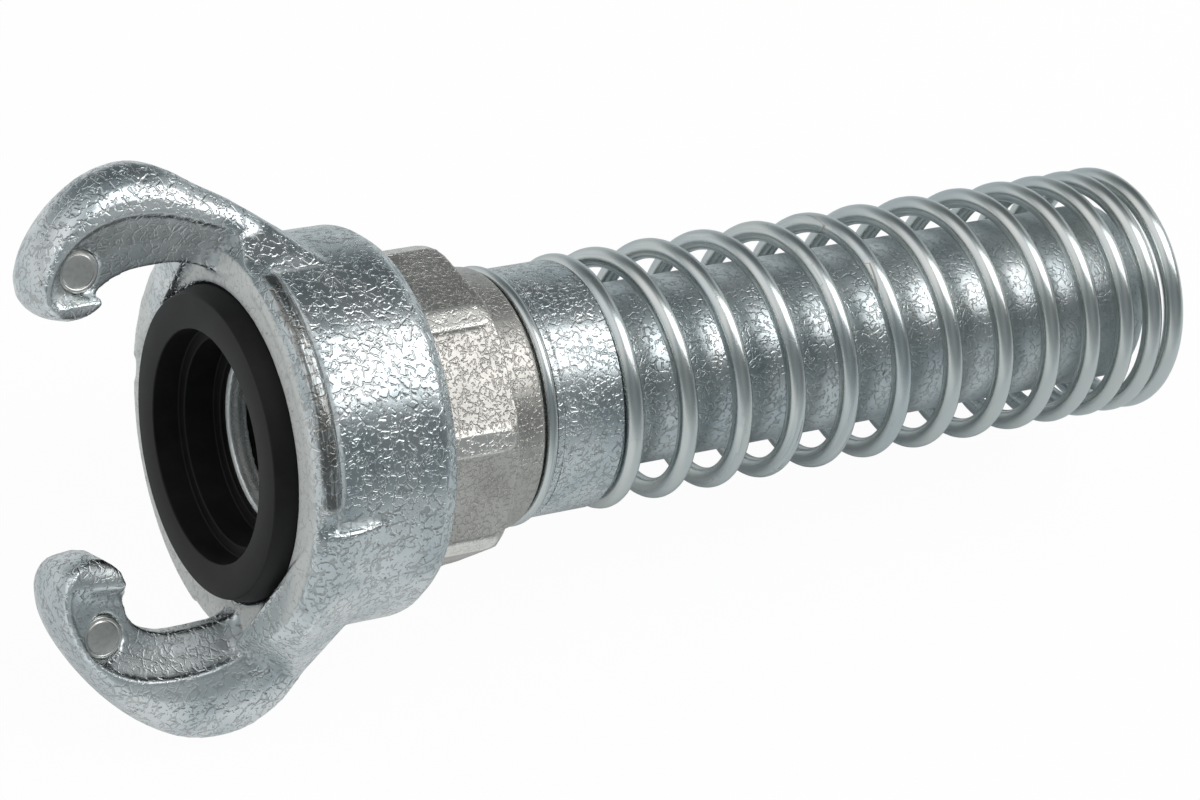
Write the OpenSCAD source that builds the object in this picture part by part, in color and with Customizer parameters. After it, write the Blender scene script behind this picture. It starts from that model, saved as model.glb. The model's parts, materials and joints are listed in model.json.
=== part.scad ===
// Claw-type air hose coupling with a swivelling hose tail and a bend-guard spring.
// The axis runs along X: the sealing face is at X = 0, the hose leaves towards +X.
// The claws are drawn towards +Y and -Y, and the whole is rolled to the way it lies at rest.

/* [Rest] */
// Roll about the axis at which the coupling lies: on a claw, the rim and the spring's end
rest_roll = 46; // [40:1:50]

/* [Seal ring] */
// Outer diameter of the seal's sealing face
seal_face_d = 36; // [34:0.5:38]
// Widest diameter of the seal, at the head's face
seal_seat_d = 37.6; // [36.5:0.1:38.4]
// Diameter of the opening in the sealing face
seal_lip_d = 27.8; // [24:0.2:30]
// Depth of the seal's front opening
seal_lip_depth = 3.4; // [2:0.1:5]
// Bore of the seal behind its ledge
seal_bore_d = 24.8; // [23:0.1:26]
// Bore of the thin lip at the back of the seal
seal_rear_d = 21.6; // [20.6:0.1:22.6]
// Thickness of that rear lip
seal_rear_t = 0.8; // [0.5:0.1:1.2]
// Width of the bevel at the mouth of the seal's seat
seat_bevel = 0.5; // [0.2:0.1:0.8]
// How far the seal stands out in front of the head's face
seal_proud = 2.3; // [1.5:0.1:3]
// Depth of the seal's seat behind the head's face
seal_seat_depth = 5.8; // [4:0.1:7]

/* [Head] */
// Outer diameter of the rim round the front face
rim_d = 48.2; // [46.5:0.1:50]
// Thickness of the rim along the axis
rim_t = 3.1; // [2.6:0.1:5]
// Outer diameter of the barrel behind the rim
barrel_d = 47; // [45.5:0.1:48]
// Length of the head behind its face
head_len = 19; // [17:0.1:24]
// Width of the bevel round the barrel's rear edge
barrel_bevel = 1.6; // [0.6:0.1:2.4]
// Bore of the throat between the seal and the swivel chamber
throat_d = 20.4; // [18:0.2:21]
// Length of the throat
throat_len = 2.6; // [1.6:0.1:4]
// Height of a cam segment above the rim
cam_rise = 0.9; // [0.4:0.1:1.6]
// Angle at which a cam segment starts, from its claw
cam_from = 27; // [24:1:40]
// Angle at which a cam segment ends, from its claw
cam_to = 98; // [80:1:99]

/* [Claws] */
// Distance over the crests of both claws
claw_span = 69.6; // [68:0.2:72]
// Reach of the claws in front of the sealing face
claw_reach = 21.4; // [20.6:0.1:22.4]
// Thickness of a claw across its ridges
claw_t = 9.6; // [9:0.1:10.4]
// Distance from the axis to the upper claw's pin
upper_pin_y = 23.6; // [23.2:0.1:24.2]
// Distance from the axis to the lower claw's pin
lower_pin_y = 19.6; // [19:0.1:20.4]
// Diameter of the claw pins
pin_d = 5.2; // [3:0.1:5.6]
// How far the pin ends stand out of the claw's recess
pin_proud = 0.35; // [0.1:0.05:0.8]

/* [Union nut] */
// How far the flats stand out of the hub, on the radius
flat_land = 1.6; // [0.6:0.1:2]
// Width of the raised bar along each corner
nut_bar = 2.8; // [1.5:0.1:4]
// Height of a bar above its corner
bar_rise = 0.25; // [0.1:0.05:0.5]
// Length of the eight-sided part
nut_len = 10.2; // [8:0.1:14]
// Length of the round hub behind the flats
hub_len = 5.3; // [3:0.1:6]
// Wall of the hub at its rear end
hub_wall = 3.12; // [2:0.02:4]
// How much wider the hub is where it meets the flats
hub_taper = 1.6; // [0:0.1:2.4]

/* [Hose tail] */
// Outer diameter of the tube that goes into the hose
tube_d = 22.6; // [21:0.1:24]
// Bore of the tube
tube_bore_d = 19.2; // [16:0.1:19.6]
// Distance from the sealing face to the end of the tube
tube_end = 128; // [100:1:129]
// Diameter of the tail's neck, which turns inside the nut
neck_d = 25.6; // [24.4:0.1:26.4]
// Running clearance between neck and nut, on the radius
neck_play = 0.08; // [0.05:0.01:0.1]
// How far the flange stands out of the neck, on the radius
flange_rim = 1.7; // [1:0.1:2]
// Room round the flange inside the thread, on the radius
flange_room = 1; // [0.6:0.1:1.4]
// Thickness of the flange
flange_t = 3; // [2:0.1:4]
// End play of the swivelling tail
end_play = 0.3; // [0.2:0.05:0.5]
// Thickness of the gasket in front of the flange
gasket_t = 2; // [1:0.1:2.6]
// Thickness of the thrust washer behind the flange
washer_t = 1; // [0.5:0.1:1.2]
// Thickness of the O-ring round the neck
o_ring_t = 1.5; // [1.2:0.1:1.8]

/* [Ferrule and retaining ring] */
// Wall of the ferrule's smooth part
ferrule_wall = 2.45; // [1.8:0.05:3]
// Length of the ferrule's smooth part
ferrule_len = 9.1; // [8:0.1:14]
// Distance from the ferrule's front edge to the fine groove behind its bead
bead_len = 0.9; // [0.6:0.1:2]
// Wall under the groove that holds the retaining ring
groove_wall = 1.6; // [0.8:0.1:1.8]
// Thickness of the retaining ring's wire
ring_wire = 1.5; // [1.2:0.1:2.2]
// Length of the ferrule's shoulder, which the spring's first turn grips
shoulder_len = 2.4; // [1.6:0.1:2.6]
// Wall of the shoulder
shoulder_wall = 0.5; // [0.4:0.1:0.9]

/* [Guard spring] */
// Thickness of the spring wire
wire_d = 2.5; // [2:0.1:3]
// Clearance between the wire and the shoulder, on the radius
wire_play = 0.05; // [0.02:0.01:0.2]
// Distance from one open turn to the next
pitch = 7.75; // [6:0.05:8]
// Number of open turns
open_turns = 7; // [5:1:8]
// Number of turns over which the coil closes up at the free end
close_turns = 5.3; // [4:0.1:6]
// Number of closed turns at the free end
shut_turns = 0.1; // [0.1:0.1:1]

/* [Hidden] */

eps = 0.01;
fine = 96;

face_x = seal_proud;
seat_x = face_x + seal_seat_depth;
chamber_x = seat_x + throat_len;
rear_x = face_x + head_len;
rim_r = rim_d/2;
barrel_r = barrel_d/2;
flange_d = neck_d + 2*flange_rim;
thread_d = flange_d + 2*flange_room;
thread_r = thread_d/2;
nut_bore_d = neck_d + 2*neck_play;
hub_rear_d = nut_bore_d + 2*hub_wall;
hub_front_d = hub_rear_d + hub_taper;
nut_af = hub_front_d + 2*flat_land;

flange_x = chamber_x + gasket_t;
flange_end = flange_x + flange_t;
spigot_x = flange_end + washer_t + end_play;
nut_x = rear_x;
flats_end = nut_x + nut_len;
hub_end = flats_end + hub_len;

o_ring_x = flats_end + hub_len/2;
o_ring_r = neck_d/2 + 0.05 - o_ring_t/2;
nose_x = hub_end + end_play;
ferrule_x = nose_x + ring_wire + 0.2;
ferrule_end = ferrule_x + ferrule_len;
bead_x = ferrule_x + bead_len;
ferrule_d = neck_d + 2*ferrule_wall;
ring_groove_d = neck_d + 2*groove_wall;
shoulder_d = neck_d + 2*shoulder_wall;
shoulder_end = ferrule_end + shoulder_len;
coil_d = shoulder_d + wire_d + 2*wire_play;

steel = [0.72, 0.76, 0.78];
nickel = [0.66, 0.64, 0.60];
rubber = [0.09, 0.09, 0.10];
zinc = [0.74, 0.78, 0.80];

module lying() {
    rotate([rest_roll, 0, 0])
        children();
}

// Shapes along the axis are drawn with their radius across and their X upwards.
module turned(points) {
    rotate([0, 90, 0])
        rotate_extrude($fn = fine)
            polygon([for (p = points) [p[1], p[0]]]);
}

// A hole along the axis, from one X to another.
module bored(from, to, d) {
    translate([from, 0, 0])
        rotate([0, 90, 0])
            cylinder(d = d, h = to - from, $fn = fine);
}

// Smooth curve through rows of values, with the same number of steps between each two rows.
function mid(a, b, c, d, t) =
    0.5*(2*b + (c - a)*t + (2*a - 5*b + 4*c - d)*t*t + (3*b - a - 3*c + d)*t*t*t);
function at(rows, i) = rows[max(0, min(len(rows) - 1, i))];
function curve(rows, steps) = [
    for (i = [0:len(rows) - 2])
        for (k = [0:steps - 1])
            mid(at(rows, i - 1), at(rows, i), at(rows, i + 1), at(rows, i + 2), k/steps),
    at(rows, len(rows) - 1)
];

// A solid skin over sections that all have the same number of points.
module skin(sections) {
    n = len(sections[0]);
    m = len(sections);
    sides = [for (i = [0:m - 2]) for (j = [0:n - 1])
        [i*n + j, i*n + (j + 1) % n, (i + 1)*n + (j + 1) % n, (i + 1)*n + j]];
    first = [for (j = [0:n - 1]) n - 1 - j];
    last = [for (j = [0:n - 1]) (m - 1)*n + j];
    triangles = [for (s = sides) each [[s[0], s[1], s[2]], [s[0], s[2], s[3]]]];
    polyhedron([for (s = sections) each s], concat([first], triangles, [last]), convexity = 8);
}

// Outlines of the claws, from the barrel over the crest to the tip, as distances along X
// and away from the axis. They are drawn for this reach and this height of the crest.
drawn_reach = 21.4;
drawn_crest = 34.8;
upper_back = [
    [12, 21.5], [5.5, 28], [0, 31.4], [-4.4, 34], [-8.8, 34.8], [-13.4, 33.7], [-17.2, 31],
    [-20, 27.4], [-21.3, 23.8], [-21.4, 21.8], [-21, 20.2], [-19.8, 18.6], [-17.2, 17.8]
];
upper_ridge = [
    [10, 20.5], [3.4, 25.8], [-1.6, 28], [-5.2, 29.1], [-9.6, 29.5], [-13.6, 28.8], [-16.8, 27],
    [-19, 24.6], [-20, 22.4], [-20, 21], [-19.8, 20], [-18.6, 18.9], [-16.8, 18]
];
upper_inner = [
    [6, 18.5], [0.6, 21.6], [-3, 22.6], [-5.4, 22.7], [-7.6, 22.6], [-9.6, 22.2], [-11, 21.7],
    [-12, 21.2], [-12.8, 20.8], [-13, 20.5], [-13.2, 20.1], [-13.8, 19], [-15.6, 18]
];
lower_back = [
    [13, 22], [8.4, 29.8], [4.6, 33.2], [0.4, 34.7], [-4.8, 34.3], [-9.6, 32], [-13.8, 28.6],
    [-17.4, 24.4], [-20.4, 19.2], [-21.4, 15.6], [-21.2, 12.8], [-19.8, 10.6], [-16.6, 9.8]
];
lower_ridge = [
    [10, 20.5], [3.4, 23.6], [-0.6, 25], [-4.2, 25.7], [-8.4, 25.7], [-12.4, 25], [-15.8, 23.3],
    [-18.5, 20.6], [-20, 17.2], [-20.3, 14.8], [-20, 12.7], [-18.6, 11], [-16, 10.2]
];
lower_inner = [
    [6, 18.5], [1, 20.6], [-2, 21], [-4.4, 21.1], [-6.8, 21], [-9, 20.4], [-10.6, 19.4],
    [-11.6, 18.2], [-12, 16.8], [-12.2, 15.6], [-12.6, 13.8], [-13.2, 11.8], [-14.8, 10.4]
];
// Half the claw's width along the same rows: at the back, the ridge and the inner edge.
back_half = [5, 3.2, 2.2, 1.5, 1, 0.7, 0.6, 0.6, 0.6, 0.7, 0.8, 0.8, 0.5];
ridge_half = [6, 4.9, 4.8, 4.8, 4.8, 4.8, 4.8, 4.8, 4.8, 4.7, 4.7, 4.2, 2.8];
inner_half = [3, 1.4, 1.3, 1.3, 1.3, 1.3, 1.3, 1.4, 1.5, 1.7, 3.9, 3.6, 2.6];

function placed(p, half) =
    [p[0]*claw_reach/drawn_reach, p[1]*claw_span/2/drawn_crest, half];
function claw_rows(back, ridge, inner) = [
    for (i = [0:len(back) - 1])
        concat(
            placed(back[i], back_half[i]*claw_t/9.6),
            placed(ridge[i], ridge_half[i]*claw_t/9.6),
            placed(inner[i], inner_half[i]*claw_t/9.6)
        )
];

// One side of a section: the rounded back, the ridge, and the sunk face inside it.
function claw_side(row, s) =
    let (
        o = [row[0], row[1], row[2]],
        r = [row[3], row[4], row[5]],
        i = [row[6], row[7], row[8]],
        full = [o[0] + (r[0] - o[0])*0.3, o[1] + (r[1] - o[1])*0.3, r[2]],
        step = min(0.5, (r[2] - i[2])*0.3),
        lip = r + (i - r)*0.1 - [0, 0, step],
        hollow = r + (i - r)*0.55 - [0, 0, step]
    )
    [
        for (t = [0:0.25:1])
            let (p = o*(1 - t)*(1 - t) + full*2*t*(1 - t) + r*t*t)
            [p[0], p[1], s*p[2]],
        [lip[0], lip[1], s*lip[2]],
        [hollow[0], hollow[1], s*hollow[2]],
        [i[0], i[1], s*i[2]]
    ];
function reversed(list) = [for (k = [len(list) - 1:-1:0]) list[k]];
function claw_section(row) = concat(claw_side(row, 1), reversed(claw_side(row, -1)));

module claw_hook(back, ridge, inner) {
    rows = curve(claw_rows(back, ridge, inner), 3);
    skin([for (r = rows) claw_section(r)]);
}

// A rounded corner of a web between the claw and the head.
module corner(x, y, z, r = 0.6) {
    translate([x, y, z])
        sphere(r = r, $fn = 16);
}

// The buttress: a wedge on one side of the claw. Its foot runs along the barrel, its front edge
// along the rim, and the ridge between them climbs from the barrel to the claw's back.
module buttress(back) {
    hull() {
        corner(face_x + 0.4, 6.4, -rim_r + 1.2);
        corner(face_x + 0.4, 9.6, -rim_r + 2.3);
        corner(face_x + 0.3, 13.4, -rim_r + 4.5);
        corner(face_x + 0.1, 17, -rim_r + 7.7);
        corner(face_x - 0.4, 20.6, -11.2);
        corner(face_x - 1, 23.2, -4.1);
        corner(face_x + 2.6, 6.6, -rim_r + 0.6);
        corner(face_x + 5.4, 6.5, -rim_r + 0.6);
        corner(face_x + 9, 6.3, -barrel_r + 1.2);
        corner(face_x + 7.3, 8.2, -22.1);
        corner(face_x + 5, 9.9, -22.3);
        corner(face_x + 3.4, 11.6, -21.6);
        corner(face_x + 2.4, 13.6, -20.6);
        corner(face_x + 1.7, 16.3, -18.8);
        corner(face_x + 1.5, 19.2, -16.2);
        corner(face_x + 2.2, 22.2, -11.6);
        corner(face_x + 5.6, 24.6, -4.6);
        corner(back[1][0], back[1][1] - 0.5, -2);
        corner(face_x + 9.4, 12.6, -19);
        corner(face_x + 9.7, 15.8, -16.6);
        corner(face_x + 10.2, 20.4, -9.6);
        corner(face_x + 10.6, barrel_r - 0.8, -2);
        corner(face_x + 8, 8, -16);
        corner(face_x + 8, 17, -3);
    }
}

// The fin: a slim web on the claw's other side.
module fin(back, ridge) {
    hull() {
        corner(face_x + 10.4, 21, 9.4, 0.4);
        corner(face_x + 6.8, 22.7, 7.6, 0.5);
        corner(ridge[1][0] + 1, ridge[1][1] - 0.4, 4, 0.5);
        corner(back[1][0], back[1][1] - 0.5, 1.6);
        corner(face_x + 10.2, barrel_r - 0.8, 1);
        corner(face_x + 0.6, 21.6, 8.6);
        corner(face_x + 0.2, 21, 2);
        corner(face_x + 8, 17, 3);
    }
}

module claw(back, ridge, inner) {
    claw_hook(back, ridge, inner);
    buttress(back);
    fin(back, ridge);
}

module cam_segment() {
    rise = rim_r + cam_rise;
    rotate([0, 90, 0])
        rotate([0, 0, 90 + cam_from])
            rotate_extrude(angle = cam_to - cam_from, $fn = fine)
                polygon([
                    [rim_r - 2, face_x - 0.2],
                    [rim_r - 0.5, face_x - 0.2],
                    [rise - 0.3, face_x + 0.5],
                    [rise, face_x + 1.3],
                    [rise, face_x + rim_t - 0.9],
                    [rise - 0.4, face_x + rim_t - 0.2],
                    [rim_r - 2, face_x + rim_t + 0.3]
                ]);
}

function pin_place(y) = [-claw_reach + 5.8, y, 0];

module claw_head() color(steel) lying() {
    difference() {
        union() {
            turned([
                [face_x, 0],
                [face_x, rim_r - 0.5],
                [face_x + 0.5, rim_r],
                [face_x + rim_t - 0.6, rim_r],
                [face_x + rim_t, barrel_r - 0.2],
                [face_x + rim_t + 1, barrel_r],
                [rear_x - barrel_bevel - 0.6, barrel_r],
                [rear_x - barrel_bevel, barrel_r - 0.15],
                [rear_x, barrel_r - 1.2],
                [rear_x, 0]
            ]);
            cam_segment();
            rotate([180, 0, 0])
                cam_segment();
            claw(upper_back, upper_ridge, upper_inner);
            rotate([180, 0, 0])
                claw(lower_back, lower_ridge, lower_inner);
        }
        turned([
            [face_x - 3, 0],
            [face_x - 3, seal_seat_d/2 + seat_bevel],
            [face_x, seal_seat_d/2 + seat_bevel],
            [face_x + seat_bevel, seal_seat_d/2],
            [seat_x, seal_seat_d/2],
            [seat_x, 0]
        ]);
        bored(seat_x - eps, rear_x + 1, throat_d);
        bored(chamber_x, rear_x + 1, thread_d);
        translate(pin_place(upper_pin_y) - [0, 0, claw_t])
            cylinder(d = pin_d, h = 2*claw_t, $fn = 48);
        translate(pin_place(-lower_pin_y) - [0, 0, claw_t])
            cylinder(d = pin_d, h = 2*claw_t, $fn = 48);
    }
}

module seal_ring() color(rubber) lying() {
    turned([
        [0, seal_lip_d/2 + 0.4],
        [0, seal_face_d/2 - 0.4],
        [0.4, seal_face_d/2],
        [face_x, seal_seat_d/2],
        [seat_x, seal_seat_d/2],
        [seat_x, seal_rear_d/2],
        [seat_x - seal_rear_t, seal_rear_d/2],
        [seat_x - seal_rear_t, seal_bore_d/2],
        [seal_lip_depth + 0.2, seal_bore_d/2],
        [seal_lip_depth, seal_bore_d/2 + 0.2],
        [seal_lip_depth, seal_lip_d/2],
        [0.4, seal_lip_d/2]
    ]);
}

module claw_pin(y) {
    half = claw_t/4 + pin_proud;
    translate(pin_place(y))
        rotate_extrude($fn = 48)
            polygon([
                [0, -half - 0.15],
                [pin_d/2 - 0.5, -half],
                [pin_d/2, -half + 0.4],
                [pin_d/2, half - 0.4],
                [pin_d/2 - 0.5, half],
                [0, half + 0.15]
            ]);
}

module upper_claw_pin() color(nickel) lying() claw_pin(upper_pin_y);

module lower_claw_pin() color(nickel) lying() claw_pin(-lower_pin_y);

module tail_gasket() color(rubber) lying() {
    turned([
        [chamber_x, throat_d/2],
        [chamber_x, thread_r - 0.4],
        [flange_x, thread_r - 0.4],
        [flange_x, throat_d/2]
    ]);
}

module thrust_washer() color(nickel) lying() {
    difference() {
        turned([
            [flange_end, 0],
            [flange_end, thread_r - 0.5],
            [flange_end + washer_t, thread_r - 0.5],
            [flange_end + washer_t, 0]
        ]);
        bored(flange_end - 1, flange_end + washer_t + 1, neck_d + 0.4);
    }
}

module ring_of_wire(x, r, wire_r) {
    rotate([0, 90, 0])
        rotate_extrude($fn = fine)
            translate([r, x])
                circle(r = wire_r, $fn = 24);
}

module neck_o_ring() color(rubber) lying() {
    ring_of_wire(o_ring_x, o_ring_r, o_ring_t/2);
}

// The eight-sided block, with a bar on each cut-off corner that ends round before the rear edge.
module octagon_block() {
    corner_r = nut_af/2/cos(22.5);
    bar_r = corner_r - nut_bar/2*tan(22.5);
    bar_end = nut_len - 0.9 - nut_bar/2;
    intersection() {
        cylinder(r = corner_r, h = nut_len, $fn = 8);
        rotate([0, 0, 22.5])
            cylinder(r = bar_r/cos(22.5), h = nut_len, $fn = 8);
    }
    for (k = [0:7])
        rotate([0, 0, 45*k])
            translate([bar_r - 0.5, 0, 0]) {
                translate([0, -nut_bar/2, 0])
                    cube([0.5 + bar_rise, nut_bar, bar_end]);
                translate([0, 0, bar_end])
                    rotate([0, 90, 0])
                        cylinder(d = nut_bar, h = 0.5 + bar_rise, $fn = 16);
            }
}

module union_nut() color(nickel) lying() {
    difference() {
        union() {
            turned([
                [spigot_x, neck_d/2],
                [spigot_x, thread_r - 0.5],
                [spigot_x + 0.5, thread_r],
                [nut_x + eps, thread_r],
                [nut_x + eps, neck_d/2]
            ]);
            intersection() {
                translate([nut_x, 0, 0])
                    rotate([0, 90, 0])
                        octagon_block();
                turned([
                    [nut_x, 0],
                    [nut_x, nut_af/2 + 2],
                    [flats_end - 1.2, nut_af/2 + 2],
                    [flats_end, nut_af/2 + 0.4],
                    [flats_end, 0]
                ]);
            }
            turned([
                [flats_end - eps, 0],
                [flats_end - eps, hub_front_d/2],
                [hub_end - 0.4, hub_rear_d/2],
                [hub_end, hub_rear_d/2 - 0.4],
                [hub_end, 0]
            ]);
        }
        bored(spigot_x - 1, hub_end + 1, nut_bore_d);
    }
}

module hose_tail() color(zinc) lying() {
    difference() {
        turned([
            [flange_x, 0],
            [flange_x, flange_d/2 - 0.4],
            [flange_x + 0.4, flange_d/2],
            [flange_end, flange_d/2],
            [flange_end, neck_d/2],
            [o_ring_x - o_ring_t/2, neck_d/2],
            [o_ring_x - o_ring_t/2, o_ring_r - o_ring_t/2],
            [o_ring_x + o_ring_t/2, o_ring_r - o_ring_t/2],
            [o_ring_x + o_ring_t/2, neck_d/2],
            [shoulder_end - 0.2, neck_d/2],
            [shoulder_end, neck_d/2 - 0.2],
            [shoulder_end, tube_d/2],
            [tube_end - 0.6, tube_d/2],
            [tube_end, tube_d/2 - 0.5],
            [tube_end, 0]
        ]);
        bored(flange_x - 1, tube_end + 1, tube_bore_d);
    }
}

module retaining_ring() color(zinc) lying() {
    wire_r = ring_wire/2;
    ring_of_wire(nose_x + wire_r + 0.1, ring_groove_d/2 + wire_r, wire_r);
}

module spring_ferrule() color(zinc) lying() {
    difference() {
        turned([
            [nose_x, 0],
            [nose_x, ring_groove_d/2],
            [ferrule_x, ring_groove_d/2],
            [ferrule_x, ferrule_d/2 - 0.3],
            [ferrule_x + 0.3, ferrule_d/2 + 0.1],
            [bead_x - 0.2, ferrule_d/2 + 0.1],
            [bead_x - 0.1, ferrule_d/2 - 0.25],
            [bead_x + 0.1, ferrule_d/2 - 0.25],
            [bead_x + 0.2, ferrule_d/2],
            [ferrule_end - 0.3, ferrule_d/2],
            [ferrule_end, ferrule_d/2 - 0.3],
            [ferrule_end, shoulder_d/2],
            [shoulder_end - 0.2, shoulder_d/2],
            [shoulder_end, shoulder_d/2 - 0.2],
            [shoulder_end, 0]
        ]);
        bored(nose_x - 1, shoulder_end + 1, neck_d);
    }
}

// Place of the wire's middle along the axis, for a number of turns from its start.
// The first part of a turn is flat, then the pitch eases in.
flat_turns = 0.5;
ease_turns = 0.3;
start_angle = -150;
function rise_start(t) =
    t < flat_turns ? 0
    : t < flat_turns + ease_turns ? pitch*pow(t - flat_turns, 2)/(2*ease_turns)
    : pitch*(t - flat_turns - ease_turns/2);
open_end = flat_turns + ease_turns/2 + open_turns;
// Over the closing turns the pitch falls evenly to that of a shut turn, and stays so.
shut_pitch = wire_d + 0.15;
function rise_end(t) =
    t < close_turns ? pitch*t - (pitch - shut_pitch)*t*t/(2*close_turns)
    : (pitch + shut_pitch)/2*close_turns + shut_pitch*(t - close_turns);
function wire_x(t) =
    ferrule_end + wire_d/2
    + (t < open_end ? rise_start(t) : rise_start(open_end) + rise_end(t - open_end));
sides = 8;
steps_per_turn = 28;

module guard_spring() color(zinc) lying() {
    coil_r = coil_d/2;
    total = open_end + close_turns + shut_turns;
    count = round(total*steps_per_turn);
    wire_r = wire_d/2;
    skin([
        for (k = [0:count])
            let (t = total*k/count, a = start_angle + 360*t)
            [
                for (j = [0:sides - 1])
                    let (b = -360*j/sides, r = coil_r + wire_r*cos(b))
                    [wire_x(t) + wire_r*sin(b), r*cos(a), r*sin(a)]
            ]
    ]);
}

claw_head();
seal_ring();
upper_claw_pin();
lower_claw_pin();
tail_gasket();
thrust_washer();
union_nut();
neck_o_ring();
hose_tail();
retaining_ring();
spring_ferrule();
guard_spring();
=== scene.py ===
"""The looks of a claw hose coupling: its cast head, union nut, hose tail, guard spring and finishes."""
import json
import math

import bpy
import numpy as np
from mathutils import Matrix, Vector


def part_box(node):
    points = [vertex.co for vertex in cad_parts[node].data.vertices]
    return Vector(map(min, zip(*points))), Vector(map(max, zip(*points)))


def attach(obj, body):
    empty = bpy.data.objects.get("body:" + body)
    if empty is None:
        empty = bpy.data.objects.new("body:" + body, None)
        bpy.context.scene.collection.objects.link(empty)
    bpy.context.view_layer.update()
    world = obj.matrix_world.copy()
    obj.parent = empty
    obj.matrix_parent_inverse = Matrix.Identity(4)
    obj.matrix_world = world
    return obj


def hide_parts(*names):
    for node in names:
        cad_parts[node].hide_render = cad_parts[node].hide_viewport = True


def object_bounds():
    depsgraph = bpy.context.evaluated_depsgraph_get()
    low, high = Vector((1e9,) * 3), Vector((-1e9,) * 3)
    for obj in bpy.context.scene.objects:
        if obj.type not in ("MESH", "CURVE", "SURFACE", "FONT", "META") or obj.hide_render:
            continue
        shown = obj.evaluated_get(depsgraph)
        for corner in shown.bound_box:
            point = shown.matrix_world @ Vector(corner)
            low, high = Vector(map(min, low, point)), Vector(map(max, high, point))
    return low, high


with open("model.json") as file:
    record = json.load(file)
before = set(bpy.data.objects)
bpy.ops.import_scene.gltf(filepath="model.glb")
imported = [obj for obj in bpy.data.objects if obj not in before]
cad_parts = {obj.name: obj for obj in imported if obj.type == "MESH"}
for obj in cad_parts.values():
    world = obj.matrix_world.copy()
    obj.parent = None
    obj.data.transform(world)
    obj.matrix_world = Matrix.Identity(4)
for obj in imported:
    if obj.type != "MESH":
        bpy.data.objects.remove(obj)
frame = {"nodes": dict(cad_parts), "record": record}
cad_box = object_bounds()

bl_info = {
    "name": "Claw hose coupling",
    "version": (1, 0, 0),
    "blender": (4, 5, 0),
    "location": "View3D > Sidebar > Coupling",
    "description": "Builds the finished look of a claw hose coupling around its solids",
    "category": "Object",
}

MM = 0.001
HEAD_BODY = "head"
TAIL_BODY = "tail"
# Middle of the coupling along X, in metres
MIDDLE_X = 0.05

# Fineness of the round pieces and of the wire, along a turn of the coil and round the wire
ROUND = 160
WIRE_STEPS_PER_TURN = 130
WIRE_ROUNDNESS = 10

# Width in millimetres of the lumps in a cast skin
LUMP_WIDTH = 2.6
# Where that skin bends in by more than this, it is smoothed further, which fillets its hollows
FILLET_BEND, FILLET_ROUNDS = 0.03, 8

# Places that the finishes follow: starts and ends along X and radii from it in millimetres, and
# the angle from the claws' plane to the middle of a cam segment
FACE_START, FACE_RADIUS = 1.9, 24.0
CHEEK_END = 1.0
CAM_START, CAM_END, CAM_RADIUS = 3.0, 5.5, 24.5
CAM_MIDDLE = math.radians(62.5)
THROAT_START, THROAT_RADIUS, THREAD_PITCH = 5.0, 13.4, 1.3
BAR_RADIUS = 19.4
TUBE_START, TUBE_BORE = 50.0, 10.8
TUBE_FADE_START, TUBE_FADE_END = 60.0, 125.0

# How much of the floor shines by itself, so that the camera, metal and glass see it white.
# Metal sees it shine in front of the head, and much less beside the tail.
GLOW_SEEN = 0.965
GLOW_BY_HEAD, GLOW_BY_TAIL = 0.52, 0.06
GLOW_THROUGH = 0.5
HEAD_GLOW_END, TAIL_GLOW_START = -40.0, 25.0

# Level of the surroundings from straight ahead (0) to straight up (1)
SKY = ((0.0, 0.42), (0.1, 0.4), (0.24, 0.2), (0.7, 0.19), (0.87, 0.32), (0.97, 0.5))
# Pale panels and dark cards there: direction, angles in degrees where each ends and is full, strength
PANELS = (
    ((-0.71, 0.287, 0.643), 46, 14, 0.8),
    ((0.882, 0.287, 0.375), 26, 10, 0.4),
    ((0.46, 0.7, 0.54), 38, 12, -0.06),
    ((0.5, -0.7, 0.5), 34, 10, -0.05),
    ((0.0, -1.0, 0.0), 60, 20, 0.12),
)


def middle(node):
    low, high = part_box(node)
    return (low + high)/2


def claw_roll():
    """The angle about X at which the claws' plane lies, read from the upper claw's pin."""
    pin = middle("upper_claw_pin")
    return math.atan2(pin.z, pin.y)


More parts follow.
